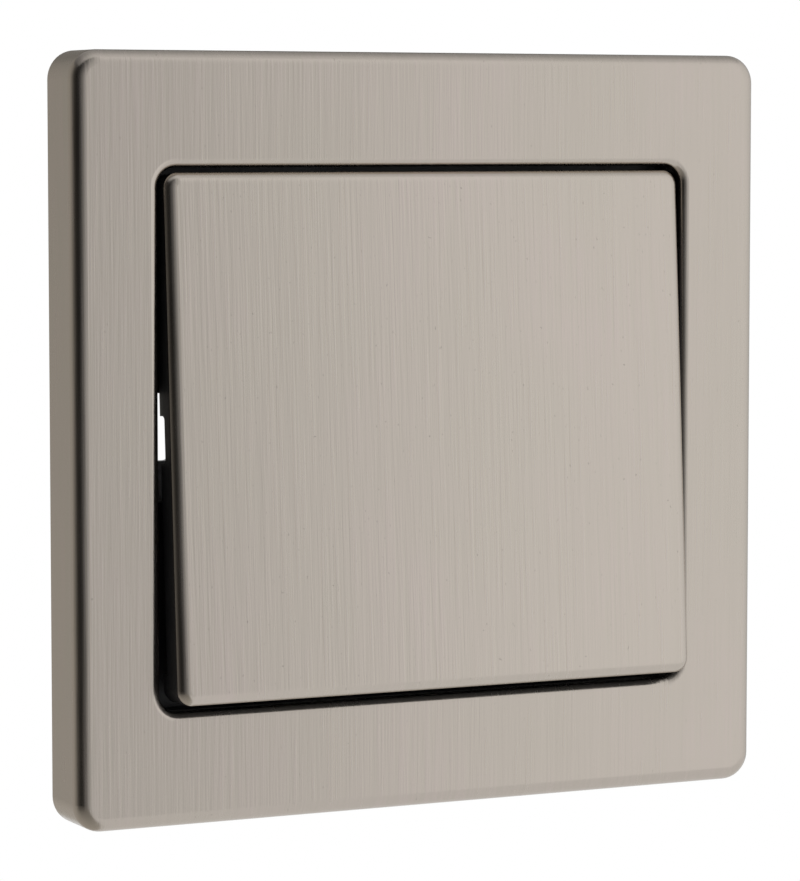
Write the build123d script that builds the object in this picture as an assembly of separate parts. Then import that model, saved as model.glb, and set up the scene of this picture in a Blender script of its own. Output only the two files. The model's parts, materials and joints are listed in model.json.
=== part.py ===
from build123d import *
from math import asin, cos, degrees, radians, sin, sqrt, tan
import os

# Two-way light switch: a square metal frame with one large rocker, on a mechanism for a
# round wall box. X runs to the right, Y into the wall and Z up. The wall plane is y = 0, and
# the origin is the centre of the two box screws. Lengths are in millimetres, angles in degrees.

# Outer frame
frame_size = 80.0
frame_depth = 7.2
frame_corner_r = 3.0
frame_edge_r = 1.5
cover_wall = 1.0
opening_width = 61.3
opening_height = 56.1
opening_corner_r = 2.0
opening_edge_r = 0.95
lip_depth = 2.0

# Rocker
side_gap = 0.6
end_gap = 0.75
face_rise = 9.15
rocker_corner_r = 1.6
rocker_edge_r = 1.35
skin_wall = 0.9
skin_cut_edge = 0.2
body_face_wall = 1.25
body_wall = 1.5
skirt_clearance = 0.55
side_skirt_step = 1.0
end_skirt_length = 3.0
notch_height = 4.9
notch_depth = 1.15
notch_corner_r = 0.5
rib_depth = 1.2
rib_wall = 1.2
rib_across_z = 16.0
rib_along_x = 18.0

# Tilt of the rocker, each way from the middle
half_tilt = 3.46
face_to_pivot = 5.3

# Clearances, and the largest share of a wall or corner that a rounded edge may take
seat = 0.05
running = 0.05
slide_gap = 0.1
free_gap = 0.3
edge_share = 0.95

# Inner frame
carrier_wall = 1.4
flange_wall = 1.35
flange_reach_x = 3.2
flange_reach_z = 3.3
relief_depth = 1.8
relief_low = 6.7
relief_high = 4.7
pocket_depth = 0.8
hook_x = 10.0
hook_inset = 1.7
hook_width = 4.0
hook_wall = 1.1
hook_barb = 0.8
hook_grip = 1.2
strut_count = 4
strut_pitch = 18.0
strut_wall = 1.2

# Steel ring
ring_inset = 4.5
ring_wall = 1.0
ring_corner_r = 3.0
box_spacing = 60.0
slot_width = 4.2
slot_length = 7.0
key_width = 6.4
key_low = 2.5
key_high = 5.5
key_tail = 6.0
key_corner_r = 0.8
window_margin = 3.0
stem_swing = 8.0

# Bearing plate
plate_wall = 1.6
bearing_wall = 3.0
bearing_r = 2.8
bearing_clearance = 0.7
plate_corner_r = 2.0

# Toggle
trunnion_r = 1.5
hub_r = 3.0
hub_width = 14.8
head_height = 24.0
head_wall = 1.7
stem_width = 7.0
stem_height = 6.4
stem_to_tip = 2.05
stem_corner_r = 1.0
stem_edge_r = 0.5
clip_width = 5.0
clip_wall = 1.2
clip_barb = 0.7
clip_grip = 0.9
clip_x = 4.2

# Plunger and its spring
plunger_r = 1.5
plunger_gap = 0.05
plunger_length = 5.4
spring_coil_r = 1.15
spring_wire_r = 0.22
spring_turns = 6
spring_length = 4.4

# Contacts
bridge_depth = 9.5
bridge_tilt = 9.6
bridge_width = 6.0
bridge_wall = 0.8
contact_z = 9.0
bridge_end = 1.8
ear_r = 0.6
ear_length = 1.7
rivet_r = 1.5
rivet_dome = 0.3
rivet_rim = 0.5
rivet_shank_r = 0.8
contact_gap = 0.1
strip_wall = 0.8
cradle_wall = 0.9
cradle_height = 4.4
lead_width = 3.0
contact_tab_width = 5.0
contact_tab_inner = 1.5
contact_tab_outer = 4.5

# Housing
housing_width = 32.0
housing_height = 44.0
housing_corner_r = 3.0
housing_edge_r = 1.2
side_wall = 3.8
end_wall = 1.5
back_wall = 3.0
chamber_width = 7.0
chamber_height = 8.0
chamber_room = 7.05

# Terminals
wire_r = 1.6
wire_from_plate = 0.5
wire_from_end = 6.1
entry_flare = 0.5
gauge_length = 7.0
gauge_width = 2.2
gauge_depth = 0.8
clamp_wall = 0.35
clamp_width = 5.6
clamp_fold = 1.6
clamp_bend_r = 0.56
clamp_leg = 5.6
clamp_reach = 5.2
clamp_slope = 32.0
button_r = 1.2
button_from_end = 2.1
button_travel = 1.0
button_flange_r = 1.6
button_flange = 0.7
button_edge_r = 0.25
button_slot_width = 0.5
button_slot_depth = 0.4

# Assembly screws
screw_r = 1.1
screw_head_r = 2.1
screw_head = 1.4
screw_reach = 8.0
screw_inset_x = 2.3
screw_inset_z = 2.5
screw_point = 0.35
recess_span = 1.3
recess_width = 0.6
recess_depth = 0.7

# Claws
claw_z = 10.6
claw_width = 6.0
claw_wall = 1.0
claw_stand = 2.5
claw_lever = 4.5
claw_pivot_y = 7.0
claw_screw_r = 1.5
claw_head_r = 2.7
claw_head = 1.8
claw_nut_r = 2.0
claw_nut_lead = 1.2
claw_eye_wall = 0.65
claw_bore_play = 0.15
claw_pin_r = 0.8
claw_eye_r = 1.9
claw_arm_reach = 3.0
claw_arm_start = 2.4
claw_arm_bend = 4.0
claw_arm_y = 22.0
claw_tooth = 1.0
claw_screw_reach = 13.0
boss_wall = 1.3

# Places that follow from the sizes above
frame_front_y = -frame_depth
ring_size = frame_size - 2 * ring_inset
hook_z = opening_height / 2 - flange_reach_z + hook_inset
face_y = -face_rise
pivot_y = face_y + face_to_pivot
rocker_width = opening_width - 2 * side_gap
rocker_height = opening_height - 2 * end_gap
flange_front_y = -(ring_wall + seat + flange_wall)
rocker_swing = rocker_height / 2 * sin(radians(half_tilt))
end_skirt_y = flange_front_y - rocker_swing - skirt_clearance
side_skirt_y = end_skirt_y - side_skirt_step
body_front_y = face_y + skin_wall + seat
body_inner_y = body_front_y + body_face_wall
head_front_y = body_inner_y + seat
head_back_y = head_front_y + head_wall
plate_front_y = -(ring_wall + plate_wall)
tip_to_bridge = plunger_r + plunger_gap + bridge_wall / 2
tip_y = bridge_depth - tip_to_bridge
stem_end_y = tip_y - stem_to_tip
window_width = hub_width + 2 * free_gap + 2 * window_margin
window_height = 2 * (hub_r + stem_swing + window_margin)
tilt_sin = sin(radians(bridge_tilt))
tilt_cos = cos(radians(bridge_tilt))
rivet_height = rivet_rim + rivet_dome
closed_y = bridge_depth + (bridge_wall / 2 + rivet_height) * tilt_cos + contact_z * tilt_sin
closed_z = contact_z * tilt_cos - (bridge_wall / 2 + rivet_height) * tilt_sin
strip_front_y = closed_y + contact_gap + rivet_height
strip_back_y = strip_front_y + strip_wall
cavity_y = strip_back_y + seat
chamber_y = cavity_y + chamber_room
housing_depth = chamber_y + back_wall
chamber_out_x = housing_width / 2 - side_wall
chamber_in_x = chamber_out_x - chamber_width
chamber_out_z = housing_height / 2 - end_wall
chamber_in_z = chamber_out_z - chamber_height
contact_room_z = contact_z + contact_tab_outer + 2 * slide_gap + free_gap
cavity_half_z = max(contact_room_z, chamber_in_z + free_gap)
clamp_plate_x = chamber_out_x - free_gap - strip_wall
wire_x = clamp_plate_x - wire_from_plate - wire_r
wire_z = chamber_out_z - wire_from_end
button_z = chamber_out_z - button_from_end
cradle_x = bridge_width / 2 + free_gap + cradle_wall
screw_x = housing_width / 2 - screw_inset_x
screw_z = housing_height / 2 - screw_inset_z
claw_pivot_x = housing_width / 2 + claw_stand
claw_nut_x = claw_pivot_x + sqrt(claw_lever**2 - claw_nut_lead**2)
claw_screw_x = (claw_nut_x + claw_pivot_x + claw_lever) / 2
claw_arm_x = claw_screw_x + claw_arm_reach
claw_nut_y = claw_pivot_y + claw_nut_lead


def plate(outline, y_front, y_back):
    """Outline drawn in X and Z, as a solid between two depths."""
    return extrude(Pos(0, y_back, 0) * (Plane.XZ * outline), y_back - y_front)


def block(x_low, x_high, y_front, y_back, z_low, z_high):
    """Rectangular solid between the given limits."""
    outline = Rectangle(x_high - x_low, z_high - z_low, align=(Align.MIN, Align.MIN))
    return plate(Pos(x_low, z_low) * outline, y_front, y_back)


def rounded_slab(width, height, y_front, y_back, corner_r, edge_r):
    """Slab with rounded corners and a rounded front edge."""
    slab = plate(RectangleRounded(width, height, corner_r), y_front, y_back)
    return fillet(slab.faces().sort_by(Axis.Y)[0].edges(), min(edge_r, edge_share * corner_r))


def rod_x(radius, x_low, x_high, y, z):
    """Round bar along X."""
    bar = Cylinder(radius, x_high - x_low, align=(Align.CENTER, Align.CENTER, Align.MIN))
    return Pos(x_low, y, z) * Rot(0, 90, 0) * bar


def rod_y(radius, y_front, y_back, x=0.0, z=0.0):
    """Round bar along Y."""
    return plate(Pos(x, z) * Circle(radius), y_front, y_back)


def rod_z(radius, z_low, z_high, x, y):
    """Round bar along Z."""
    bar = Cylinder(radius, z_high - z_low, align=(Align.CENTER, Align.CENTER, Align.MIN))
    return Pos(x, y, z_low) * bar


def tilted(shape, angle, y_axis):
    """Shape turned about a line along X at a depth in the middle of the switch."""
    return Pos(0, y_axis, 0) * Rot(angle, 0, 0) * Pos(0, -y_axis, 0) * shape


def half_turned(shape):
    """Copy turned half a turn about the middle, as the left side is to the right."""
    return Rot(0, 180, 0) * shape


def bent_strip(points, width, thickness, bend_r):
    """Strip bent along a path in X and Y; its width runs along Z."""
    path = FilletPolyline(*points, radius=bend_r)
    section = Plane(path @ 0, x_dir=(0, 0, 1), z_dir=path % 0) * Rectangle(width, thickness)
    return sweep(section, path)


# Frame

def frame_cover():
    """Shell of the outer frame, with its lip turned back into the opening."""
    inside = frame_size - 2 * cover_wall
    cavity_front_y = frame_front_y + cover_wall
    inner_corner_r = max(frame_corner_r - cover_wall, cover_wall)
    inner_edge_r = max(frame_edge_r - cover_wall, cover_wall / 4)
    shell = plate(RectangleRounded(frame_size, frame_size, frame_corner_r), frame_front_y, 0)
    shell -= rounded_slab(inside, inside, cavity_front_y, 0, inner_corner_r, inner_edge_r)
    lip_outline = RectangleRounded(
        opening_width + 2 * cover_wall,
        opening_height + 2 * cover_wall,
        opening_corner_r + cover_wall,
    )
    shell += plate(lip_outline, cavity_front_y - cover_wall / 2, frame_front_y + lip_depth)
    opening = RectangleRounded(opening_width, opening_height, opening_corner_r)
    shell -= plate(opening, frame_front_y, frame_front_y + lip_depth)
    front = shell.faces().sort_by(Axis.Y)[0]
    shell = fillet(front.inner_wires()[0].edges(), min(opening_edge_r, edge_share * cover_wall))
    front = shell.faces().sort_by(Axis.Y)[0]
    return fillet(front.outer_wire().edges(), min(frame_edge_r, edge_share * frame_corner_r))


def wall_between(outer_x, outer_z, outer_r, wall):
    """Outline of an upright wall that runs round a rectangle."""
    inner_r = max(outer_r - wall, wall / 2)
    inner = RectangleRounded(outer_x - 2 * wall, outer_z - 2 * wall, inner_r)
    return RectangleRounded(outer_x, outer_z, outer_r) - inner


def snap_hook():
    """Hook on the top edge of the inner frame, reaching through the ring."""
    root_y = -ring_wall - seat - flange_wall / 2
    low_x, high_x = hook_x - hook_width / 2, hook_x + hook_width / 2
    stem = block(low_x, high_x, root_y, seat + hook_grip, hook_z, hook_z + hook_wall)
    barb_profile = Plane.YZ * Polyline(
        (seat, hook_z), (seat, hook_z - hook_barb), (seat + hook_grip, hook_z), close=True
    )
    barb = extrude(make_face(barb_profile), hook_width / 2, both=True)
    return stem + Pos(hook_x, 0, 0) * barb


def frame_carrier():
    """Moulded inner frame: a flange on the ring, two upright walls, struts and four hooks."""
    outer = frame_size - 2 * (cover_wall + slide_gap)
    wall_x = opening_width + 2 * carrier_wall
    wall_z = opening_height + 2 * carrier_wall
    base_y = -(ring_wall + seat)
    wall_front_y = frame_front_y + lip_depth + slide_gap
    top_y = frame_front_y + cover_wall + slide_gap
    head_room_x = claw_screw_x + claw_head_r + free_gap
    hole_half_x = max(opening_width / 2 - flange_reach_x, head_room_x)
    flange_hole = RectangleRounded(
        2 * hole_half_x, opening_height - 2 * flange_reach_z, opening_corner_r
    )
    outer_r = max(frame_corner_r - cover_wall - slide_gap, slide_gap)
    carrier = plate(RectangleRounded(outer, outer, outer_r) - flange_hole, flange_front_y, base_y)
    carrier += plate(wall_between(outer, outer, outer_r, carrier_wall), top_y + free_gap, -seat)
    carrier += plate(
        wall_between(wall_x, wall_z, opening_corner_r + carrier_wall, carrier_wall - slide_gap),
        wall_front_y,
        base_y,
    )
    for index in range(strut_count):
        mid = (index - (strut_count - 1) / 2) * strut_pitch
        low, high = mid - strut_wall / 2, mid + strut_wall / 2
        strut_x = block(wall_x / 2 - carrier_wall / 2, outer / 2 - carrier_wall / 2,
                        wall_front_y, base_y - seat, low, high)
        strut_z = block(low, high, wall_front_y, base_y - seat,
                        wall_z / 2 - carrier_wall / 2, outer / 2 - carrier_wall / 2)
        carrier += strut_x + half_turned(strut_x) + strut_z + half_turned(strut_z)
    for side in (False, True):
        for relief in (side_relief(), end_relief()):
            carrier -= half_turned(relief) if side else relief
    for hook in (snap_hook(), mirror(snap_hook(), Plane.YZ)):
        carrier += hook + half_turned(hook)
    return carrier


def side_relief():
    """Room for a screw head at the keyhole of the left side, reaching past the inner wall."""
    keyhole_x = (box_spacing + key_width) / 2
    wall_x = opening_width / 2 + 2 * carrier_wall
    return block(
        -max(keyhole_x, wall_x) - free_gap,
        -opening_width / 2 + 2 * flange_reach_x,
        flange_front_y - relief_depth,
        0,
        -relief_low,
        relief_high,
    )


def end_relief():
    """Shallow pocket in the back of the flange for a flat screw head at the top slot."""
    half = slot_width + free_gap
    base_y = -(ring_wall + seat)
    inner_z = (box_spacing - slot_length) / 2 - free_gap
    return block(-half, half, base_y - pocket_depth, base_y, inner_z, box_spacing / 2 + half)


# Rocker

def rocker_plate():
    """Metal plate of the rocker, its front rounded down to a narrow cut edge."""
    arc_depth = min(skin_wall - skin_cut_edge, rocker_edge_r)
    overhang = rocker_edge_r - sqrt(rocker_edge_r**2 - (rocker_edge_r - arc_depth) ** 2)
    blank = rounded_slab(
        rocker_width + 2 * overhang,
        rocker_height + 2 * overhang,
        face_y,
        face_y + skin_wall + rocker_edge_r,
        rocker_corner_r + overhang,
        rocker_edge_r,
    )
    outline = RectangleRounded(rocker_width, rocker_height, rocker_corner_r)
    return blank & plate(outline, face_y, face_y + skin_wall)


def rocker_clip():
    """Upper clip of the rocker body, which snaps round the toggle's head."""
    foot_z = head_height / 2 + slide_gap
    tip_y = head_back_y + slide_gap + clip_grip
    low_x, high_x = clip_x - clip_width / 2, clip_x + clip_width / 2
    stem = block(low_x, high_x, body_inner_y - seat, tip_y, foot_z, foot_z + clip_wall)
    barb_profile = Plane.YZ * Polyline(
        (head_back_y + slide_gap, foot_z + clip_wall / 2),
        (head_back_y + slide_gap, foot_z - clip_barb),
        (tip_y, foot_z + clip_wall / 2),
        close=True,
    )
    barb = extrude(make_face(barb_profile), clip_width / 2, both=True)
    return stem + Pos(clip_x, 0, 0) * barb


def side_notch():
    """Notch in the middle of the left skirt, with two rounded inner corners."""
    outline = RectangleRounded(2 * notch_depth, notch_height, notch_corner_r)
    profile = Plane.YZ * Pos(side_skirt_y, 0) * outline
    return Pos(-rocker_width / 2, 0, 0) * extrude(profile, 2 * body_wall, both=True)


def rocker_body():
    """Moulded rocker under the plate: skirts, stiffening ribs and clips."""
    width = rocker_width - 2 * seat
    height = rocker_height - 2 * seat
    body = plate(RectangleRounded(width, height, rocker_corner_r), body_front_y, end_skirt_y)
    hollow_r = max(rocker_corner_r - body_wall, body_wall / 2)
    hollow = RectangleRounded(width - 2 * body_wall, height - 2 * body_wall, hollow_r)
    body -= plate(hollow, body_inner_y, end_skirt_y)
    reach_z = height / 2 - end_skirt_length
    for side in (-1, 1):
        low_x = side * rocker_width / 2 - 2 * body_wall
        body -= block(low_x, low_x + 4 * body_wall, side_skirt_y, end_skirt_y, -reach_z, reach_z)
    body -= side_notch() + half_turned(side_notch())
    half_x = width / 2 - body_wall / 2
    half_z = height / 2 - body_wall / 2
    rib_y = body_inner_y + rib_depth
    for side in (-1, 1):
        low_z = side * rib_across_z - rib_wall / 2
        low_x = side * rib_along_x - rib_wall / 2
        body += block(-half_x, half_x, body_inner_y - seat, rib_y, low_z, low_z + rib_wall)
        body += block(low_x, low_x + rib_wall, body_inner_y - seat, rib_y, -half_z, half_z)
    for clip in (rocker_clip(), mirror(rocker_clip(), Plane.YZ)):
        body += clip + half_turned(clip)
    return body


# Toggle, plunger and spring

def toggle():
    """Inner rocker: head plate, hub on two trunnions, and the stem bored for the plunger."""
    half_x = hub_width / 2
    reach = half_x + free_gap + bearing_wall
    body = rod_x(hub_r, -half_x, half_x, pivot_y, 0)
    body += rod_x(trunnion_r, -reach, reach, pivot_y, 0)
    body += block(-half_x, half_x, head_front_y, head_back_y, -head_height / 2, head_height / 2)
    stem = plate(RectangleRounded(stem_width, stem_height, stem_corner_r), pivot_y, stem_end_y)
    body += fillet(stem.faces().sort_by(Axis.Y)[-1].edges(), stem_edge_r)
    return body - rod_y(plunger_r + slide_gap, plunger_seat_y(), stem_end_y)


def plunger_seat_y():
    """Depth of the bottom of the toggle's bore."""
    return tip_y - plunger_length - spring_length


def plunger():
    """Pin with a round tip that rides on the contact bridge."""
    return rod_y(plunger_r, tip_y - plunger_length, tip_y) + Pos(0, tip_y, 0) * Sphere(plunger_r)


def plunger_spring():
    """Coil spring between the bore's bottom and the plunger."""
    rise = spring_length - 2 * (spring_wire_r + seat)
    path = Helix(pitch=rise / spring_turns, height=rise, radius=spring_coil_r)
    section = Plane(path @ 0, z_dir=path % 0) * Circle(spring_wire_r)
    coil = sweep(section, path, is_frenet=True)
    return Pos(0, plunger_seat_y() + spring_wire_r + seat, 0) * Rot(-90, 0, 0) * coil


# Contacts

def contact_bridge():
    """See-saw strip with two round ears in its middle and a hole for each rivet."""
    half_z = contact_z + bridge_end
    half_y = bridge_wall / 2
    outline = RectangleRounded(bridge_width, 2 * half_z, bridge_end / 2)
    strip = plate(outline, bridge_depth - half_y, bridge_depth + half_y)
    reach = bridge_width / 2 + ear_length
    strip += rod_x(ear_r, -reach, reach, bridge_depth, 0)
    half_x = bridge_width / 2
    strip -= block(-half_x, half_x, bridge_depth - ear_r, bridge_depth - half_y, -ear_r, ear_r)
    for z in (-contact_z, contact_z):
        strip -= rod_y(rivet_shank_r, bridge_depth - bridge_wall, bridge_depth + bridge_wall, 0, z)
    return strip


def rivet_head():
    """Round contact head, flat behind and domed in front, with its dome along +Z."""
    sphere_r = (rivet_r**2 + rivet_dome**2) / (2 * rivet_dome)
    dome = Pos(0, 0, rivet_height - sphere_r) * Sphere(sphere_r)
    rim = Cylinder(rivet_r, rivet_height, align=(Align.CENTER, Align.CENTER, Align.MIN))
    return rim & dome


def moving_contacts():
    """The two rivets of the bridge, their domes towards the fixed contacts."""
    back_y = bridge_depth + bridge_wall / 2
    closed = Part()
    for z in (-contact_z, contact_z):
        closed += Pos(0, back_y, z) * Rot(-90, 0, 0) * rivet_head()
        closed += rod_y(rivet_shank_r - seat / 2, bridge_depth - bridge_wall / 2, back_y, 0, z)
    return closed


def fixed_rivets():
    """The two rivets that the bridge closes on."""
    closed = Part()
    for side in (-1, 1):
        head = Rot(90, 0, 0) * rivet_head()
        closed += Pos(0, strip_front_y, side * closed_z) * head
    return closed


def clamp_end():
    """Upper right terminal: landing in the chamber and the wall that the wire is pressed on."""
    outer_z = chamber_out_z - free_gap
    middle_y = (strip_front_y + strip_back_y) / 2
    wall_x = clamp_plate_x + strip_wall / 2
    end_y = chamber_y - free_gap
    points = [(chamber_in_x + free_gap, middle_y, 0), (wall_x, middle_y, 0), (wall_x, end_y, 0)]
    wall = bent_strip(points, outer_z - chamber_in_z - free_gap, strip_wall, strip_wall)
    return Pos(0, 0, (outer_z + chamber_in_z + free_gap) / 2) * wall


def fixed_contact_upper():
    """Upper switched conductor: contact tab, lead and terminal in one strip."""
    low = contact_z - contact_tab_inner
    high = contact_z + contact_tab_outer
    end_x = clamp_plate_x - 2 * strip_wall
    top_z = chamber_out_z - free_gap
    tab = block(-contact_tab_width / 2, end_x, strip_front_y, strip_back_y, low, high)
    corner = block(chamber_in_x + free_gap, end_x, strip_front_y, strip_back_y, low, top_z)
    return tab + corner + clamp_end()


def common_terminal():
    """Common conductor: notched cradle of the bridge, lead and terminal."""
    mid_x = cradle_x - cradle_wall / 2
    mid_y = strip_back_y - cradle_wall / 2
    top_y = bridge_depth - 2 * ear_r - free_gap
    cradle = bent_strip(
        [(-mid_x, top_y, 0), (-mid_x, mid_y, 0), (mid_x, mid_y, 0), (mid_x, top_y, 0)],
        cradle_height, cradle_wall, cradle_wall,
    )
    notch_r = ear_r + running
    cradle -= rod_x(notch_r, -2 * mid_x, 2 * mid_x, bridge_depth, 0)
    cradle -= block(-2 * mid_x, 2 * mid_x, top_y, bridge_depth, -notch_r, notch_r)
    near_z = cradle_height / 2
    far_x = clamp_plate_x - 2 * strip_wall
    lead_z = near_z + lead_width
    gap_z = near_z + free_gap
    bottom_z = chamber_out_z - free_gap
    cross = block(-far_x, mid_x / 2, strip_front_y, strip_back_y, -lead_z, -near_z + strip_wall)
    cross -= block(-far_x, -mid_x / 2, strip_front_y, strip_back_y, -gap_z, 0)
    drop_x = chamber_in_x + free_gap
    drop = block(-far_x, -drop_x, strip_front_y, strip_back_y, -bottom_z, -gap_z)
    return cradle + cross + drop + half_turned(clamp_end())


def clamp_spring():
    """Leaf spring of the upper right terminal: a leg on the chamber wall, a leg on the wire."""
    fixed_x = chamber_in_x + clamp_wall / 2 + slide_gap
    front_y = chamber_y - free_gap - clamp_leg
    tongue_y = front_y + clamp_reach * tan(radians(clamp_slope))
    points = [
        (fixed_x, chamber_y - free_gap, 0),
        (fixed_x, front_y, 0),
        (fixed_x + clamp_fold, front_y, 0),
        (fixed_x + clamp_reach, tongue_y, 0),
    ]
    leaf = bent_strip(points, clamp_width, clamp_wall, clamp_bend_r)
    return Pos(0, 0, chamber_out_z - chamber_height / 2) * leaf


def release_button():
    """Button beside the upper right wire entry, slotted for a blade and held by its flange."""
    end_y = chamber_y - button_inner()
    head_y = housing_depth + button_travel
    stem = rod_y(button_r, end_y, head_y, wire_x, button_z)
    stem = fillet(stem.faces().sort_by(Axis.Y)[-1].edges(), button_edge_r)
    slot_x, slot_z = wire_x + button_r, button_z + button_slot_width / 2
    stem -= block(wire_x - button_r, slot_x, head_y - button_slot_depth, head_y,
                  button_z - button_slot_width / 2, slot_z)
    flange_y = chamber_y - seat
    return stem + rod_y(button_flange_r, flange_y - button_flange, flange_y, wire_x, button_z)


def button_inner():
    """How far the button stands into its chamber."""
    return 2 * button_travel + button_flange / 2


# Housing, bearing plate, ring and screws

def corner_places():
    """Centres of the four assembly screws."""
    return [(x, z) for x in (-screw_x, screw_x) for z in (-screw_z, screw_z)]


def chamber():
    """Upper right terminal chamber, with its funnelled wire entry and the button's bore."""
    room = block(chamber_in_x, chamber_out_x, ring_wall, chamber_y, chamber_in_z, chamber_out_z)
    entry = rod_y(wire_r, chamber_y, housing_depth, wire_x, wire_z)
    funnel = Cone(
        wire_r, wire_r + entry_flare, entry_flare, align=(Align.CENTER, Align.CENTER, Align.MAX)
    )
    entry += Pos(wire_x, housing_depth, wire_z) * Rot(-90, 0, 0) * funnel
    bore = rod_y(button_r + slide_gap, chamber_y, housing_depth, wire_x, button_z)
    return room + entry + bore


def strip_gauge():
    """Groove in the back, above the common terminal, as long as the bared end of a wire."""
    outline = Pos(-wire_x, wire_z) * SlotOverall(gauge_length, gauge_width, rotation=90)
    return plate(outline, housing_depth - gauge_depth, housing_depth)


def claw_boss(side_z):
    """One ear for the left claw's pin, on the housing's side."""
    middle_z = -claw_z + side_z * (claw_width / 2 + free_gap + boss_wall / 2)
    low_z, high_z = middle_z - boss_wall / 2, middle_z + boss_wall / 2
    front_y, back_y = claw_pivot_y - claw_eye_r, claw_pivot_y + claw_eye_r
    root = block(-claw_pivot_x, -housing_width / 2 + seat, front_y, back_y, low_z, high_z)
    return root + rod_z(claw_eye_r, low_z, high_z, -claw_pivot_x, claw_pivot_y)


def housing():
    """Insulating base: mechanism room, three terminal chambers, pilot holes and claw bosses."""
    body = plate(RectangleRounded(housing_width, housing_height, housing_corner_r), 0, housing_depth)
    body = fillet(body.faces().sort_by(Axis.Y)[-1].edges(), housing_edge_r)
    body -= block(-chamber_out_x, chamber_out_x, 0, cavity_y, -cavity_half_z, cavity_half_z)
    upper = chamber()
    body -= upper + mirror(upper, Plane.XY) + half_turned(upper) + strip_gauge()
    for x, z in corner_places():
        body -= rod_y(screw_r, 0, screw_reach + free_gap, x, z)
    for side_z in (-1, 1):
        ear = claw_boss(side_z)
        body += ear + half_turned(ear)
    low_z, high_z = -claw_z - claw_width, -claw_z + claw_width
    pin = rod_z(claw_pin_r + running, low_z, high_z, -claw_pivot_x, claw_pivot_y)
    return body - (pin + half_turned(pin))


def bearing_plate():
    """Front plate of the mechanism, with the two bearings of the toggle."""
    inner_x = hub_width / 2 + free_gap
    outer_x = inner_x + bearing_wall
    outline = RectangleRounded(housing_width, housing_height, plate_corner_r)
    spigot_width = window_width - 2 * slide_gap
    spigot_height = window_height - 2 * slide_gap
    spigot = RectangleRounded(spigot_width, spigot_height, plate_corner_r)
    slot_z = window_height / 2 - window_margin
    base = plate(outline, plate_front_y, -ring_wall) + plate(spigot, -ring_wall, -seat)
    base -= block(-inner_x, inner_x, plate_front_y, 0, -slot_z, slot_z)
    ear_front_y = max(body_inner_y + bearing_clearance, pivot_y - bearing_r)
    brace_front_y = (ear_front_y + plate_front_y) / 2
    for side in (-1, 1):
        low, high = sorted((side * inner_x, side * outer_x))
        base += block(low, high, ear_front_y, plate_front_y, -bearing_r, bearing_r)
        base += block(low, high, brace_front_y, plate_front_y, -2 * bearing_r, 2 * bearing_r)
    base -= rod_x(trunnion_r + running, -outer_x, outer_x, pivot_y, 0)
    for x, z in corner_places():
        base -= rod_y(screw_r + slide_gap, plate_front_y, -ring_wall, x, z)
    return base


def keyhole():
    """Keyhole of the left side: a wide end for the screw head and a narrow tail above it."""
    x = -box_spacing / 2
    wide = RectangleRounded(key_width, key_high + key_low, key_corner_r)
    wide = Pos(x, (key_high - key_low) / 2) * wide
    tail = Pos(x, key_high) * SlotOverall(2 * key_tail, slot_width, rotation=90)
    return wide + tail


def support_ring():
    """Steel ring: window, box screw slots, keyholes and the holes of hooks and screws."""
    outline = RectangleRounded(ring_size, ring_size, ring_corner_r)
    outline -= RectangleRounded(window_width, window_height, plate_corner_r)
    for side in (-1, 1):
        outline -= Pos(0, side * box_spacing / 2) * SlotOverall(slot_length, slot_width, rotation=90)
        outline -= Pos(side * claw_screw_x, side * claw_z) * Circle(claw_screw_r + free_gap)
        hook_room = hook_wall + hook_barb + 2 * free_gap
        middle_z = hook_z + hook_wall - hook_room / 2 + free_gap
        for across in (-1, 1):
            slot = Rectangle(hook_width + 2 * free_gap, hook_room - free_gap)
            outline -= Pos(across * hook_x, side * middle_z) * slot
    outline -= keyhole()
    outline -= Rot(0, 0, 180) * keyhole()
    for x, z in corner_places():
        outline -= Pos(x, z) * Circle(screw_r + slide_gap)
    return plate(outline, -ring_wall, 0)


def pan_screw(head_r, head_height, shank_r, y_seat, y_end):
    """Screw along Y with a domed head and a cross recess."""
    head = rod_y(head_r, y_seat - head_height, y_seat)
    head = fillet(head.faces().sort_by(Axis.Y)[0].edges(), head_height / 2)
    for angle in (0, 90):
        recess = Rot(0, angle, 0) * Box(head_r * recess_span, 2 * recess_depth, recess_width)
        head -= Pos(0, y_seat - head_height, 0) * recess
    shank = rod_y(shank_r, y_seat, y_end)
    return head + chamfer(shank.faces().sort_by(Axis.Y)[-1].edges(), screw_point)


def assembly_screws():
    """Four screws that clamp the bearing plate and the ring on the housing."""
    seat_y = plate_front_y - seat
    screw = pan_screw(screw_head_r, screw_head, screw_r - running, seat_y, screw_reach)
    group = Part()
    for x, z in corner_places():
        group += Pos(x, 0, z) * screw
    return group


# Claws

def claw_cheek():
    """Side of the left claw in X and Y: pivot eye, nut eye and the arm to the teeth."""
    nut_eye_r = claw_nut_r + running + claw_eye_wall
    arm_in = claw_arm_x - 2 * claw_wall
    outline = make_hull(
        (Pos(-claw_pivot_x, claw_pivot_y) * Circle(claw_eye_r)).edges()
        + (Pos(-claw_nut_x, claw_nut_y) * Circle(nut_eye_r)).edges()
    )
    arm = Polyline(
        (-claw_nut_x, claw_nut_y + claw_arm_start),
        (-arm_in, claw_nut_y + claw_arm_bend),
        (-arm_in, claw_arm_y),
        (-claw_arm_x, claw_arm_y),
        (-claw_arm_x, claw_nut_y),
        (-claw_nut_x, claw_nut_y),
        close=True,
    )
    outline += make_face(arm)
    outline -= Pos(-claw_nut_x, claw_nut_y) * Circle(claw_nut_r + running)
    return outline - Pos(-claw_pivot_x, claw_pivot_y) * Circle(claw_pin_r + running)


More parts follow.
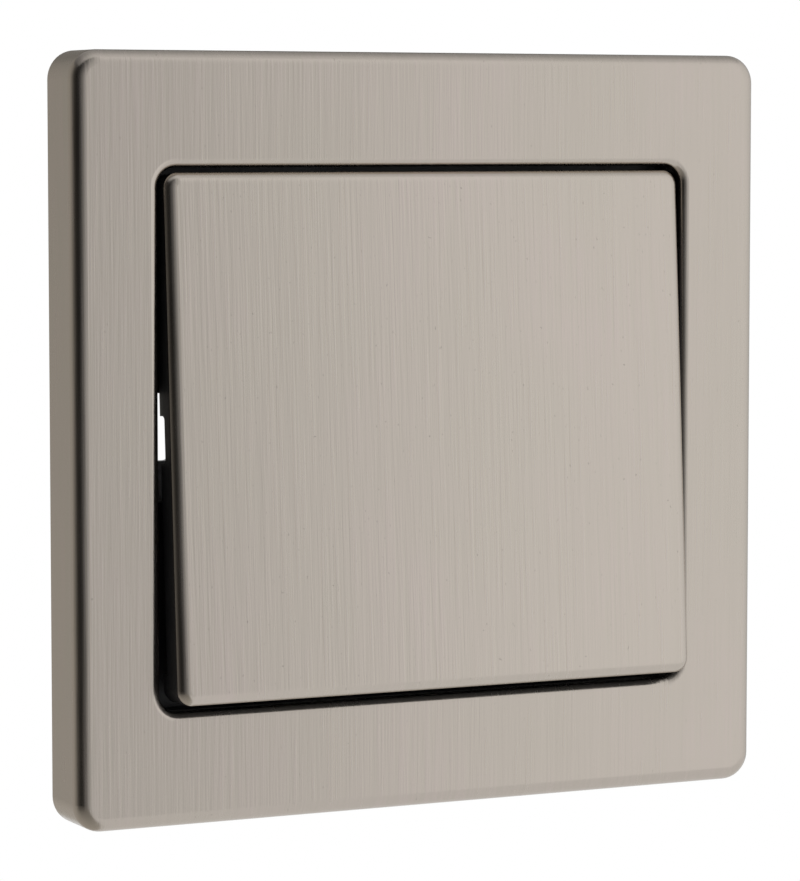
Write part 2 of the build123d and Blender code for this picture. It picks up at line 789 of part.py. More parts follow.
def claw_left():
    """Spreading claw: two cheeks, the web between them and three teeth at its end."""
    half = claw_width / 2
    claw = Part()
    for low in (-half, half - claw_wall):
        claw += Pos(0, 0, low) * extrude(claw_cheek(), claw_wall)
    web_front_y = claw_nut_y + claw_arm_bend
    claw += block(-claw_arm_x, -claw_arm_x + claw_wall, web_front_y, claw_arm_y, -half, half)
    for place in (-1, 0, 1):
        middle = place * claw_width / 3
        points = [
            (-claw_arm_x + claw_wall / 2, claw_arm_y - 2 * claw_tooth),
            (-claw_arm_x - claw_tooth, claw_arm_y),
            (-claw_arm_x + claw_wall / 2, claw_arm_y),
        ]
        tooth = extrude(make_face(Polyline(*points, close=True)), claw_wall / 2, both=True)
        claw += Pos(0, 0, middle) * tooth
    return Pos(0, 0, -claw_z) * claw


def claw_nut_left():
    """Barrel nut of the left claw: it turns in the cheeks and is drawn along the screw."""
    half = claw_width / 2
    barrel = rod_z(claw_nut_r, -claw_z - half, -claw_z + half, -claw_nut_x, claw_nut_y)
    bore_r = claw_screw_r + claw_bore_play
    return barrel - rod_y(bore_r, 0, 2 * claw_nut_y, -claw_nut_x, -claw_z)


def claw_screw_left():
    """Screw of the left claw, its head on the ring."""
    seat_y = -ring_wall - seat
    screw = pan_screw(claw_head_r, claw_head, claw_screw_r, seat_y, claw_screw_reach)
    return Pos(-claw_screw_x, 0, -claw_z) * screw


def claw_pin_left():
    """Hinge pin of the left claw, through the two ears of the housing."""
    reach = claw_width / 2 + free_gap + boss_wall
    return rod_z(claw_pin_r, -claw_z - reach, -claw_z + reach, -claw_pivot_x, claw_pivot_y)


# The sub-parts as they stand at rest: the rocker's top pressed in, the lower contact closed

def build_nodes():
    """Every sub-part by name, in its rest place."""
    rocker = {
        "rocker_plate": rocker_plate(),
        "rocker_body": rocker_body(),
        "toggle": toggle(),
        "plunger": plunger(),
        "plunger_spring": plunger_spring(),
    }
    nodes = {name: tilted(shape, -half_tilt, pivot_y) for name, shape in rocker.items()}
    bridge = {"contact_bridge": contact_bridge(), "moving_contacts": moving_contacts()}
    for name, shape in bridge.items():
        nodes[name] = tilted(shape, bridge_tilt, bridge_depth)
    nodes["frame_cover"] = frame_cover()
    nodes["frame_carrier"] = frame_carrier()
    nodes["support_ring"] = support_ring()
    nodes["bearing_plate"] = bearing_plate()
    nodes["housing"] = housing()
    nodes["assembly_screws"] = assembly_screws()
    nodes["common_terminal"] = common_terminal()
    nodes["fixed_contact_upper"] = fixed_contact_upper()
    nodes["fixed_contact_lower"] = mirror(fixed_contact_upper(), Plane.XY)
    nodes["fixed_rivets"] = fixed_rivets()
    for name, upper in (("clamp_spring", clamp_spring()), ("release_button", release_button())):
        nodes[name + "_upper"] = upper
        nodes[name + "_lower"] = mirror(upper, Plane.XY)
        nodes[name + "_common"] = half_turned(upper)
    left_pieces = {
        "claw": claw_left(),
        "claw_nut": claw_nut_left(),
        "claw_screw": claw_screw_left(),
        "claw_pin": claw_pin_left(),
    }
    for name, left in left_pieces.items():
        nodes[name + "_left"] = left
        nodes[name + "_right"] = half_turned(left)
    return nodes


def main():
    os.makedirs("parts", exist_ok=True)
    for name, shape in build_nodes().items():
        shape.label = name
        export_step(shape, f"parts/{name}.step")
    opening = 2 * degrees(asin(claw_nut_lead / claw_lever))
    print("claw opens by", round(opening, 2), "degrees")
    print("plunger tip at", round(tip_y, 3), "and housing back at", round(housing_depth, 3))


main()
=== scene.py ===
# %% [markdown]
# # A two-way light switch in brushed metal
#
# This lesson dresses a finished CAD model of a flush light switch: a square brushed frame with
# one big rocker, and behind them the steel ring, the mechanism and the spreading claws. The
# CAD gives every shape and joint in metres, with X to the right, Y into the wall and Z up.
# Blender adds what CAD doesn't have: finishes, fine detail, light and a camera.
#
# The first cell loads the frame and its record, and gives a helper for a part's box.

# %% Load the frame
import json
from math import cos, pi, radians, sin

import bmesh
import bpy
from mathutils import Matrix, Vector


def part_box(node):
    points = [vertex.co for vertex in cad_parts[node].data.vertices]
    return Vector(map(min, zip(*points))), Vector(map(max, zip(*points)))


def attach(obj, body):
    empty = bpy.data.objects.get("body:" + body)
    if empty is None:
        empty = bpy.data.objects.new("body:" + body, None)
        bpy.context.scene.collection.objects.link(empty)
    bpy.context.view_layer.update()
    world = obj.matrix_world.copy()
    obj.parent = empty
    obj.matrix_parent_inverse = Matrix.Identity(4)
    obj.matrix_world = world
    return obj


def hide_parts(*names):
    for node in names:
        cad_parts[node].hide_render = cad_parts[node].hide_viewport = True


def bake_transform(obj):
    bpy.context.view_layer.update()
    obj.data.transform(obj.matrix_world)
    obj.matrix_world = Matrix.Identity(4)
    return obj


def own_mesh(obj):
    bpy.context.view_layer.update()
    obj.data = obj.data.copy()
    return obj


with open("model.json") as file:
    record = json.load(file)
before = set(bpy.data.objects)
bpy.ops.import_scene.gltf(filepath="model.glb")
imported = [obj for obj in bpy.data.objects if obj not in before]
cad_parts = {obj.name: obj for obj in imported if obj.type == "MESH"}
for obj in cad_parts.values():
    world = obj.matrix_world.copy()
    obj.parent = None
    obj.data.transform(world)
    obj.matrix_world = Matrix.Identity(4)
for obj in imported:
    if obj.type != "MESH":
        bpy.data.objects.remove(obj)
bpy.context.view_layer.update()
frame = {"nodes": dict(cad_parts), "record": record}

MM = 0.001

# %% [markdown]
# ## Camera
#
# The photo looks at the switch from its left and slightly from above, through a long lens, so
# the frame's edges stay almost parallel. A camera's place can be set by eye or fitted to known
# corners. Here it was fitted to the corners of the 80 mm frame, which leaves less than a pixel
# of error, and the numbers below are that fit.

# %% Camera
camera_data = bpy.data.cameras.new("camera")
camera_data.lens = 155.95
camera_data.sensor_width = 36.0
camera = bpy.data.objects.new("camera", camera_data)
bpy.context.collection.objects.link(camera)
camera.location = (-0.17872, -0.36801, 0.03143)
line_of_sight = Vector((0.4356, 0.8966, -0.0800))
camera.rotation_euler = line_of_sight.to_track_quat("-Z", "Y").to_euler()
bpy.context.scene.camera = camera
bpy.context.scene.view_settings.view_transform = "Standard"
print("camera", round(camera.location.length, 3), "m from the middle of the wall plane")

# %% [markdown]
# ## Helpers for node trees
#
# Every finish below is a small tree of nodes. Typing out each node and link hides the idea, so
# two helpers do it: one adds a node with its settings and inputs, the other starts a finish.
# An input may be a plain value or another node's output.

# %% Helpers for node trees
def add_node(tree, kind, inputs=None, **settings):
    """Add a node; inputs maps socket names or numbers to values or to other outputs."""
    node = tree.nodes.new(kind)
    for key, value in settings.items():
        setattr(node, key, value)
    for socket, value in (inputs or {}).items():
        if isinstance(value, bpy.types.NodeSocket):
            tree.links.new(value, node.inputs[socket])
        else:
            node.inputs[socket].default_value = value
    return node


def new_finish(name, **sockets):
    """Start a finish; the keywords set sockets of its shader that are the same all over."""
    material = bpy.data.materials.new(name)
    material.use_nodes = True
    shader = material.node_tree.nodes["Principled BSDF"]
    for socket, value in sockets.items():
        shader.inputs[socket.replace("_", " ")].default_value = value
    return material, material.node_tree, shader


# %% [markdown]
# ## Grain, ramps and relief
#
# Brushing, rolling and moulding each leave a grain with a size in millimetres. Noise on Object
# coordinates keeps that size on every piece and stays put when a piece moves. Stretching the
# noise along one axis turns it into brush lines, and turning it first lets the lines lie flat in
# a face that leans. A ramp then limits how much of it shows.

# %% Grain, ramps and relief
def grain(tree, size_mm, detail=2.0, roughness=0.5, shift=0.0, lean=0.0):
    """Noise whose cells measure size_mm along X, Y and Z, turned by lean about X."""
    place = add_node(tree, "ShaderNodeTexCoord").outputs["Object"]
    if lean:
        place = add_node(tree, "ShaderNodeVectorRotate", {"Vector": place, "Angle": lean},
                         rotation_type="X_AXIS").outputs["Vector"]
    scale = [1 / (size * MM) for size in size_mm]
    mapping = add_node(tree, "ShaderNodeMapping", {
        "Vector": place,
        "Location": (shift, shift, shift),
        "Scale": scale,
    })
    noise = add_node(tree, "ShaderNodeTexNoise", {
        "Vector": mapping.outputs["Vector"],
        "Scale": 1.0,
        "Detail": detail,
        "Roughness": roughness,
    })
    return noise.outputs["Fac"]


def ramp(tree, value, low, high, low_to=0.0, high_to=1.0):
    """Bring the part of a value between low and high to a new range."""
    node = add_node(tree, "ShaderNodeMapRange", {
        "Value": value, "From Min": low, "From Max": high, "To Min": low_to, "To Max": high_to,
    })
    return node.outputs["Result"]


def blend_colors(tree, share, first, second):
    """Mix two colours by a share."""
    node = add_node(tree, "ShaderNodeMix", data_type="RGBA")
    for number, value in ((0, share), (6, first), (7, second)):
        if isinstance(value, bpy.types.NodeSocket):
            tree.links.new(value, node.inputs[number])
        else:
            node.inputs[number].default_value = value
    return node.outputs[2]


def combine(tree, operation, first, second):
    """Join two values with one sum."""
    return add_node(tree, "ShaderNodeMath", {0: first, 1: second}, operation=operation).outputs[0]


def blend_values(tree, first, first_share, second, second_share):
    """Add two values, each with its own share."""
    return combine(tree, "ADD", combine(tree, "MULTIPLY", first, first_share),
                   combine(tree, "MULTIPLY", second, second_share))


def relief(tree, shader, height, depth_mm, strength):
    """Turn a height into small bumps of the given depth."""
    bump = add_node(tree, "ShaderNodeBump", {
        "Height": height, "Distance": depth_mm * MM, "Strength": strength,
    })
    tree.links.new(bump.outputs["Normal"], shader.inputs["Normal"])


def tint(color, factor):
    """A colour made darker or lighter."""
    return tuple(min(part * factor, 1.0) for part in color) + (1.0,)


# %% [markdown]
# ## Brushed metal
#
# The frame and the rocker's plate are warm grey steel, brushed upright. Up close the photo shows
# fine lines a few tenths of a millimetre wide, broader pale and dark bands, and a rare faint
# speck. Each is its own grain. The lines also change the roughness and the relief a little,
# which breaks up the soft reflections as real brushing does. The rocker stands tilted, so its
# grain leans with it, or the lines would break where they cross the noise. At its sides the
# plate's colour is darkened. This is painted shade that dims the reflection there, and the finish
# finds these sides by the way that the surface faces. A shade factor can also make a copy
# lighter, which is painted light.

# %% Brushed metal
METAL_COLOR = (0.522, 0.475, 0.420)
METAL_PINK = (0.527, 0.468, 0.426)
ROCKER_LEAN = radians(3.46)
# The third factor darkens the plate's sideways faces: painted shade that dims their reflection.
LINE_SHADE, SPECK_SHADE, SIDE_SHADE_PAINTED = 0.96, 0.6, 0.23


def brushed_metal(name, shade=1.0, lean=0.0, painted_side_shade=False):
    material, tree, shader = new_finish(name, Metallic=1.0)
    lines = grain(tree, (0.34, 1.2, 14.0), detail=2.0, roughness=0.6, lean=lean)
    bands = grain(tree, (1.3, 2.5, 60.0), detail=2.0, shift=7.0, lean=lean)
    clouds = grain(tree, (16.0, 16.0, 16.0), detail=3.0, shift=3.0)
    both = blend_values(tree, lines, 0.75, bands, 0.25)
    hue = blend_colors(tree, ramp(tree, clouds, 0.35, 0.65),
                       tint(METAL_PINK, shade), tint(METAL_COLOR, shade))
    color = blend_colors(tree, ramp(tree, both, 0.38, 0.62),
                         tint(METAL_COLOR, LINE_SHADE * shade), hue)
    specks = ramp(tree, grain(tree, (0.3, 0.3, 0.4), detail=1.0, shift=21.0), 0.74, 0.78, 0.0, 0.5)
    color = blend_colors(tree, specks, color, tint(METAL_COLOR, SPECK_SHADE))
    # Painted shade: faces that look along X get a dark colour, which dims their reflection.
    if painted_side_shade:
        facing = add_node(tree, "ShaderNodeTexCoord").outputs["Normal"]
        sideways = add_node(tree, "ShaderNodeVectorMath", {0: facing, 1: (1, 0, 0)},
                            operation="DOT_PRODUCT").outputs["Value"]
        painted_side = ramp(tree, combine(tree, "ABSOLUTE", sideways, 0.0), 0.92, 0.97)
        color = blend_colors(tree, painted_side, color, tint(METAL_COLOR, SIDE_SHADE_PAINTED))
    tree.links.new(color, shader.inputs["Base Color"])
    rough = combine(tree, "ADD", ramp(tree, lines, 0.3, 0.7, 0.20, 0.28),
                    ramp(tree, clouds, 0.3, 0.7, -0.02, 0.02))
    tree.links.new(rough, shader.inputs["Roughness"])
    relief(tree, shader, both, 0.034, 0.6)
    return material


# %% [markdown]
# ## Moulded plastics
#
# The inner frame, rocker body, housing and small inner parts are moulded. A mould leaves a fine
# spark-eroded texture and a slightly uneven gloss, and handling adds a little dust. One
# function takes the colour and the gloss, so the plastics differ only where the real ones do.

# %% Moulded plastics
def moulded_plastic(name, color, roughness, texture_mm=0.12, depth_mm=0.01, dust=0.05):
    material, tree, shader = new_finish(name)
    texture = grain(tree, (texture_mm,) * 3, detail=2.0)
    clouds = grain(tree, (9.0, 9.0, 9.0), detail=3.0, shift=11.0)
    shade = blend_colors(tree, ramp(tree, clouds, 0.3, 0.7), tint(color, 0.9), tint(color, 1.08))
    specks = ramp(tree, grain(tree, (0.5, 0.5, 0.5), detail=2.0, shift=5.0), 0.68, 0.78, 0.0, dust)
    shade = blend_colors(tree, specks, shade, (0.55, 0.52, 0.47, 1.0))
    tree.links.new(shade, shader.inputs["Base Color"])
    gloss = combine(tree, "ADD", ramp(tree, clouds, 0.3, 0.7, -0.05, 0.05),
                    ramp(tree, texture, 0.3, 0.7, roughness - 0.04, roughness + 0.04))
    tree.links.new(gloss, shader.inputs["Roughness"])
    relief(tree, shader, texture, depth_mm, 0.5)
    return material


# %% [markdown]
# ## Plated, rolled and polished metals
#
# Behind the frame sit stamped steel with a zinc coat, yellow-tinged screws, copper strips,
# spring steel and silver contacts. Zinc crystals show as soft patches and a chalky haze, so part
# of its light is plain diffuse. Rolled strip has lines along its length, and turned screws have
# rings. A function with a grain size per axis covers them all.

# %% Plated, rolled and polished metals
def plain_metal(name, color, roughness, patch_mm, spread=0.12, depth_mm=0.004, metallic=1.0):
    material, tree, shader = new_finish(name, Metallic=metallic)
    patches = grain(tree, patch_mm, detail=3.0, roughness=0.6)
    haze = grain(tree, (6.0, 6.0, 6.0), detail=2.0, shift=13.0)
    tone = blend_values(tree, patches, 0.6, haze, 0.4)
    shade = blend_colors(tree, ramp(tree, tone, 0.35, 0.65),
                         tint(color, 1 - spread), tint(color, 1 + spread))
    tree.links.new(shade, shader.inputs["Base Color"])
    rough = ramp(tree, tone, 0.3, 0.7, roughness - 0.05, roughness + 0.07)
    tree.links.new(rough, shader.inputs["Roughness"])
    relief(tree, shader, patches, depth_mm, 0.4)
    return material


# %% [markdown]
# ## Finishes by slot
#
# The record gives every node a material slot. One finish per slot keeps like pieces alike, and
# the rocker's plate gets its own copy of the brushed metal because its grain leans. That copy is
# painted a little lighter, as painted light for the brighter reflection of its tilted face, and
# its sideways faces are darkened with painted shade. The slots could be painted by hand in the
# editor, but a table is quicker to read and to change.

# %% Finishes by slot
finishes = {
    "brushed_metal": brushed_metal("brushed_metal"),
    "black_plastic": moulded_plastic("black_plastic", (0.012, 0.012, 0.013), 0.42),
    "housing_plastic": moulded_plastic("housing_plastic", (0.055, 0.057, 0.062), 0.5, 0.2),
    "plate_plastic": moulded_plastic("plate_plastic", (0.62, 0.60, 0.54), 0.42),
    "toggle_plastic": moulded_plastic("toggle_plastic", (0.70, 0.69, 0.65), 0.36),
    "button_plastic": moulded_plastic("button_plastic", (0.72, 0.20, 0.035), 0.38),
    "plunger_plastic": moulded_plastic("plunger_plastic", (0.66, 0.62, 0.50), 0.24),
    "zinc_steel": plain_metal("zinc_steel", (0.56, 0.57, 0.58), 0.5, (1.2, 1.2, 1.2),
                              metallic=0.55),
    "screw_steel": plain_metal("screw_steel", (0.62, 0.53, 0.33), 0.3, (0.5, 0.08, 0.5)),
    "spring_steel": plain_metal("spring_steel", (0.52, 0.52, 0.52), 0.24, (0.15, 0.15, 2.5)),
    "copper_alloy": plain_metal("copper_alloy", (0.72, 0.42, 0.22), 0.26, (0.2, 2.0, 3.0)),
    "contact_silver": plain_metal("contact_silver", (0.86, 0.85, 0.81), 0.2, (0.3, 0.3, 0.3), 0.06),
}
slot_of = {row["node"]: row["material_slot"] for row in frame["record"]["subparts"]}
for name, slot in slot_of.items():
    for place in frame["nodes"][name].material_slots:
        place.material = finishes[slot]
# Painted light: this copy is 4 % lighter, for the brighter reflection of the rocker's tilted face.
leaning = brushed_metal("brushed_metal_leaning_painted_light", shade=1.04, lean=ROCKER_LEAN, painted_side_shade=True)
frame["nodes"]["rocker_plate"].material_slots[0].material = leaning
print("finishes", len(finishes), "nodes dressed", len(slot_of))

# %% [markdown]
# ## Threads on the claw screws
#
# The CAD screws are smooth bars. A thread is one round wire wound up a spiral, which is a rule,
# so Geometry Nodes makes it: a spiral curve, a small circle swept along it, then a turn that
# lays it along Y and a move to its screw. The sizes are named inputs of the tree, set through
# their sockets' identifiers. The result is kept as a plain mesh that turns with its screw.

# %% Thread tree
def thread_tree():
    tree = bpy.data.node_groups.new("thread", "GeometryNodeTree")
    tree.interface.new_socket("Geometry", in_out="OUTPUT", socket_type="NodeSocketGeometry")
    for name in ("Radius", "Length", "Pitch", "Wire"):
        tree.interface.new_socket(name, in_out="INPUT", socket_type="NodeSocketFloat")
    tree.interface.new_socket("Place", in_out="INPUT", socket_type="NodeSocketVector")
    tree.interface.new_socket("Finish", in_out="INPUT", socket_type="NodeSocketMaterial")
    given = tree.nodes.new("NodeGroupInput").outputs
    turns = combine(tree, "DIVIDE", given["Length"], given["Pitch"])
    spiral = add_node(tree, "GeometryNodeCurveSpiral", {
        "Resolution": 24, "Rotations": turns, "Height": given["Length"],
        "Start Radius": given["Radius"], "End Radius": given["Radius"],
    })
    wire = add_node(tree, "GeometryNodeCurvePrimitiveCircle", {
        "Resolution": 8, "Radius": given["Wire"],
    })
    swept = add_node(tree, "GeometryNodeCurveToMesh", {
        0: spiral.outputs[0], 1: wire.outputs[0], "Fill Caps": True,
    })
    smooth = add_node(tree, "GeometryNodeSetShadeSmooth", {0: swept.outputs[0]})
    laid = add_node(tree, "GeometryNodeTransform", {
        0: smooth.outputs[0], "Translation": given["Place"], "Rotation": (-pi / 2, 0.0, 0.0),
    })
    real = add_node(tree, "GeometryNodeRealizeInstances", {0: laid.outputs[0]})
    finished = add_node(tree, "GeometryNodeSetMaterial", {
        0: real.outputs[0], "Material": given["Finish"],
    })
    tree.links.new(finished.outputs[0], tree.nodes.new("NodeGroupOutput").inputs[0])
    return tree

# %% [markdown]
# ## From tree to plain mesh
#
# A tree's inputs are set by the identifiers of its sockets, before the object is looked at for
# the first time. The grown mesh is then copied out and the modifier removed, so the piece is as
# plain as the CAD ones. Each thread rides on its screw, and so turns with it.

# %% Grown pieces
def grown(name, tree, values):
    """Grow a piece with a node tree and keep it as a plain mesh."""
    piece = bpy.data.objects.new(name, bpy.data.meshes.new(name))
    bpy.context.collection.objects.link(piece)
    modifier = piece.modifiers.new("grow", "NODES")
    modifier.node_group = tree
    inputs = [item for item in tree.interface.items_tree if item.in_out == "INPUT"]
    identifiers = {item.name: item.identifier for item in inputs}
    for label, value in values.items():
        modifier[identifiers[label]] = value
    evaluated = piece.evaluated_get(bpy.context.evaluated_depsgraph_get())
    mesh = bpy.data.meshes.new_from_object(evaluated)
    piece.modifiers.remove(modifier)
    piece.data = mesh
    return piece


# %% Threads
THREAD_START, THREAD_LENGTH = 0.6 * MM, 11.8 * MM
THREAD_RADIUS, THREAD_PITCH, THREAD_WIRE = 1.32 * MM, 0.7 * MM, 0.25 * MM
threads = thread_tree()
for side in ("left", "right"):
    low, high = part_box("claw_screw_" + side)
    thread = grown("claw_thread_" + side, threads, {
        "Radius": THREAD_RADIUS, "Length": THREAD_LENGTH,
        "Pitch": THREAD_PITCH, "Wire": THREAD_WIRE,
        "Place": ((low[0] + high[0]) / 2, THREAD_START, (low[2] + high[2]) / 2),
        "Finish": finishes["screw_steel"],
    })
    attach(thread, "claw_screw_" + side)
    print(thread.name, len(thread.data.polygons), "faces")

# %% [markdown]
# ## Copies of the springs
#
# A coil spring gets shorter and a leaf spring bends, but a plain CAD solid stays as it is. So a
# copy of each spring's mesh stands in for it, and the CAD spring is hidden. The coil's copy rides
# with the rocker, and each leaf's copy gets extra points on every edge and keeps its place.
# Modelling them anew would only risk another shape.

# %% Spring copies
def spring_copy(node, name, cuts=0):
    """Merged copy of a CAD spring, with extra points on every edge when cuts is given."""
    mesh = frame["nodes"][node].data.copy()
    shape = bmesh.new()
    shape.from_mesh(mesh)
    bmesh.ops.remove_doubles(shape, verts=shape.verts, dist=0.0001 * MM)
    if cuts:
        bmesh.ops.subdivide_edges(shape, edges=shape.edges, cuts=cuts, use_grid_fill=True)
    shape.to_mesh(mesh)
    shape.free()
    piece = bpy.data.objects.new(name, mesh)
    bpy.context.collection.objects.link(piece)
    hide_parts(node)
    return piece


# %% Coil spring
coil = spring_copy("plunger_spring", "coil_spring")
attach(coil, "rocker")
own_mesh(coil)

# %% Leaf springs
for place in ("common", "upper", "lower"):
    leaf = spring_copy("clamp_spring_" + place, "leaf_spring_" + place, cuts=3)
    low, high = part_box("clamp_spring_" + place)
    near, far = sorted((low[0], high[0]), key=abs)
    side = 1 if far > 0 else -1
    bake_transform(leaf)
    print(leaf.name, len(leaf.data.polygons), "faces")

# %% [markdown]
# ## Floor and backdrop
#
# The photo has a pure white ground. The floor is a wide disc well under the switch: near the
# middle it is plain matte white that holds a shadow, and further out it turns, for the camera,
# into the same white as the world, so no horizon shows. Reflections see it pale all over, and
# from below it is clear, so that a low camera still sees the switch.

# %% Floor finish
SHADOW_R, WHITE_R = 0.12, 0.3
WHITE_MIRRORED = 0.86


def direct_rays(tree):
    """Two values, each 1 or 0: the ray comes from the camera; it comes from gloss or glass."""
    path = add_node(tree, "ShaderNodeLightPath").outputs
    mirrored = combine(tree, "MAXIMUM", path["Is Glossy Ray"], path["Is Transmission Ray"])
    return path["Is Camera Ray"], mirrored


def floor_finish():
    material = bpy.data.materials.new("floor_white")
    material.use_nodes = True
    tree = material.node_tree
    matte = tree.nodes["Principled BSDF"]
    matte.inputs["Base Color"].default_value = (0.86, 0.86, 0.86, 1.0)
    matte.inputs["Roughness"].default_value = 0.9
    glow = add_node(tree, "ShaderNodeEmission", {"Color": (1, 1, 1, 1)})
    place = add_node(tree, "ShaderNodeTexCoord").outputs["Object"]
    reach = add_node(tree, "ShaderNodeVectorMath", {0: place}, operation="LENGTH").outputs["Value"]
    from_camera, mirrored = direct_rays(tree)
    tree.links.new(ramp(tree, mirrored, 0.0, 1.0, 1.0, WHITE_MIRRORED), glow.inputs["Strength"])
    far_seen = combine(tree, "MULTIPLY", ramp(tree, reach, SHADOW_R, WHITE_R), from_camera)
    white = combine(tree, "MAXIMUM", far_seen, mirrored)
    topside = add_node(tree, "ShaderNodeMixShader", {
        0: white, 1: matte.outputs[0], 2: glow.outputs[0],
    })
    under = add_node(tree, "ShaderNodeNewGeometry").outputs["Backfacing"]
    clear = add_node(tree, "ShaderNodeBsdfTransparent")
    both = add_node(tree, "ShaderNodeMixShader", {
        0: under, 1: topside.outputs[0], 2: clear.outputs[0],
    })
    tree.links.new(both.outputs[0], tree.nodes["Material Output"].inputs["Surface"])
    return material

# %% Floor
FLOOR_Z = -0.2
FLOOR_R = 4.0
FLOOR_STEPS = 96


def sheet_object(name, points, faces, material):
    """A plain mesh that belongs to the studio, not to the switch."""
    mesh = bpy.data.meshes.new(name)
    mesh.from_pydata(points, [], faces)
    mesh.materials.append(material)
    sheet = bpy.data.objects.new(name, mesh)
    bpy.context.collection.objects.link(sheet)
    return sheet


rim = [(FLOOR_R * cos(2 * pi * i / FLOOR_STEPS), FLOOR_R * sin(2 * pi * i / FLOOR_STEPS), 0.0)
       for i in range(FLOOR_STEPS)]
floor = sheet_object("floor", rim, [list(range(FLOOR_STEPS))], floor_finish())
floor.location.z = FLOOR_Z
print("floor", FLOOR_R, "m wide at", FLOOR_Z)

# %% [markdown]
# ## World
#
# Bare metal looks like whatever stands around it, so the studio matters more than the lamp. The
# world is white to the camera and to reflections, and a little dimmer as a light, because a full
# white one would wash out the matte pieces.

# %% World
WORLD_AS_LIGHT, WORLD_AS_SEEN = 0.62, 1.0
world = bpy.data.worlds.new("studio")
bpy.context.scene.world = world
world.use_nodes = True
sky = world.node_tree
background = sky.nodes["Background"]
background.inputs["Color"].default_value = (1.0, 1.0, 1.0, 1.0)
seen = combine(sky, "MAXIMUM", *direct_rays(sky))
strength = ramp(sky, seen, 0.0, 1.0, WORLD_AS_LIGHT, WORLD_AS_SEEN)
sky.links.new(strength, background.inputs["Strength"])
print("world", WORLD_AS_LIGHT, "as a light,", WORLD_AS_SEEN, "as seen")

# %% [markdown]
# ## Lamp
#
# A large soft lamp on the right gives the plastics and the hidden parts their shading. Its place
# is a bearing counted from the front, a rise and a reach, which are easier to judge than three
# coordinates.

# %% Lamp
lamp_data = bpy.data.lights.new("key", "AREA")
lamp_data.shape = "SQUARE"
lamp_data.size = 1.0
lamp_data.energy = 3.3
lamp = bpy.data.objects.new("key", lamp_data)
bpy.context.collection.objects.link(lamp)
lamp_turn, lamp_rise, lamp_reach = radians(80), radians(30), 1.0
lamp.location = (
    lamp_reach * cos(lamp_rise) * sin(lamp_turn),
    -lamp_reach * cos(lamp_rise) * cos(lamp_turn),
    lamp_reach * sin(lamp_rise),
)
lamp.rotation_euler = (-lamp.location).to_track_quat("-Z", "Y").to_euler()
print("lamp", lamp_data.size, "m wide")

# %% [markdown]
# ## Cards
#
# A photographer puts dark and grey cards round bare metal, out of the camera's sight, to give
# rounded edges their dark line. Here two long cards bend round the switch, left and front. Each is
# a strip whose brightness changes along its length: the list pairs a bearing, counted from the
# front, with a level. The flat faces mirror the bearings 20 to 31, where the level climbs, so they
# brighten from left to right as in the photo. The left card is a little warm, because the photo's
# left side is. The cards hide from the camera and throw no shadow.

# %% Card helpers
def card_finish(name, color):
    material = bpy.data.materials.new(name)
    material.use_nodes = True
    tree = material.node_tree
    level = add_node(tree, "ShaderNodeAttribute", attribute_name="level").outputs["Fac"]
    glow = add_node(tree, "ShaderNodeEmission", {"Color": color, "Strength": level})
    tree.links.new(glow.outputs[0], tree.nodes["Material Output"].inputs["Surface"])
    return material


def card(name, rungs, levels, far_levels, material):
    """Strip through pairs of points, with a level for the first and the second of each pair."""
    points = [point for rung in rungs for point in rung]
    faces = [(i, i + 2, i + 3, i + 1) for i in range(0, len(points) - 2, 2)]
    strip = sheet_object(name, points, faces, material)
    values = [level for pair in zip(levels, far_levels) for level in pair]
    strip.data.attributes.new("level", "FLOAT", "POINT").data.foreach_set("value", values)
    strip.visible_camera = False
    strip.visible_diffuse = False
    strip.visible_shadow = False


def level_at(stops, place):
    """Brightness at a place between two stops of a list of (place, level)."""
    for (low, first), (high, second) in zip(stops, stops[1:]):
        if place <= high:
            return first + (second - first) * max(place - low, 0.0) / (high - low)
    return stops[-1][1]


white_card = card_finish("card_white", (1.0, 1.0, 1.0, 1.0))
warm_card = card_finish("card_warm", (1.0, 0.955, 0.875, 1.0))

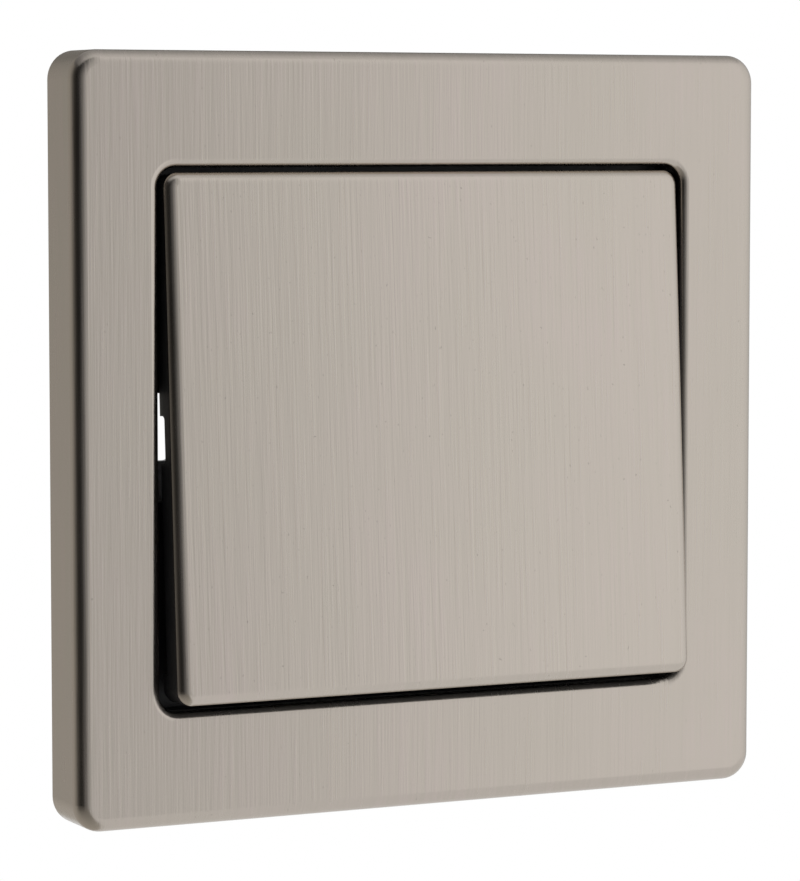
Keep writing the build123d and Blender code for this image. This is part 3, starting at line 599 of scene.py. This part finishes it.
# %% Upright cards
CARD_REACH = 0.6
CARD_LOW, CARD_HIGH = FLOOR_Z, 1.2
TURN_STEP = 2.5
around = [(-215, 0.24), (-176, 0.30), (-162, 0.47), (-154, 0.48), (-124, 0.50), (-112, 0.41),
          (-100, 0.28), (-88, 0.13), (-76, 0.05), (-64, 0.02), (-46, 0.02), (-32, 0.09),
          (-20, 0.19), (-8, 0.35), (1, 0.48), (9, 0.60), (16, 0.67), (20.5, 0.78), (25.5, 0.97),
          (31, 1.08), (45, 1.0), (65, 0.96), (90, 0.85), (120, 0.60), (145, 0.30)]
for name, start, stop, far_side, material in (("card_left", -215, -55, 0.3, warm_card),
                                              ("card_front", -55, 145, 0.88, white_card)):
    turns = [start + TURN_STEP * step for step in range(int((stop - start) / TURN_STEP) + 1)]
    rungs = []
    for turn in turns:
        x, y = CARD_REACH * sin(radians(turn)), -CARD_REACH * cos(radians(turn))
        rungs.append(((x, y, CARD_LOW), (x, y, CARD_HIGH)))
    levels = [level_at(around, turn) for turn in turns]
    card(name, rungs, levels, [level * far_side for level in levels], material)
    print(name, "from", start, "to", stop, "degrees")

# %% [markdown]
# ## Overhead cards
#
# The upper edges of frame and rocker mirror what hangs above. Two cards meet over the middle: the
# right one keeps its level to its end, and the left one fades, which lets the dark line of the
# left edges run smoothly round the upper corners, as in the photo.

# %% Overhead cards
CEILING_Z = 0.5
DEPTH_STEP = 0.05
overhead = [(-0.3, 0.80), (-0.174, 0.76), (-0.088, 0.69), (0.0, 0.58), (0.105, 0.50), (0.24, 0.42),
            (0.5, 0.43), (0.9, 0.43)]
depths = [-0.3 + DEPTH_STEP * step for step in range(25)]
for name, end, far_side in (("card_overhead_left", -CARD_REACH, 0.08),
                            ("card_overhead_right", CARD_REACH, 1.0)):
    rungs = [((0.0, y, CEILING_Z), (end, y, CEILING_Z)) for y in depths]
    levels = [level_at(overhead, y) for y in depths]
    card(name, rungs, levels, [level * far_side for level in levels], white_card)
print("overhead cards at", CEILING_Z)

# %% [markdown]
# ## Low card
#
# Without it the lower left corners would mirror the white floor and show a hard step. One low
# card on the left, dark in front and grey behind, carries the tones of the left side round them.
# It lies just over the floor and lights nothing but reflections.

# %% Low card
CARD_BELOW_Z = FLOOR_Z + 0.01
below = [(-0.3, 0.04), (-0.1, 0.05), (0.0, 0.20), (0.1, 0.40), (0.3, 0.48), (0.9, 0.48)]
below_near = [(-0.3, 0.34), (0.0, 0.50), (0.9, 0.60)]
depths = [-CARD_REACH + DEPTH_STEP * step for step in range(31)]
rungs = [((-CARD_REACH, y, CARD_BELOW_Z), (0.0, y, CARD_BELOW_Z)) for y in depths]
card("card_below_left", rungs, [level_at(below, y) for y in depths],
     [level_at(below_near, y) for y in depths], warm_card)
print("low card at", CARD_BELOW_Z)
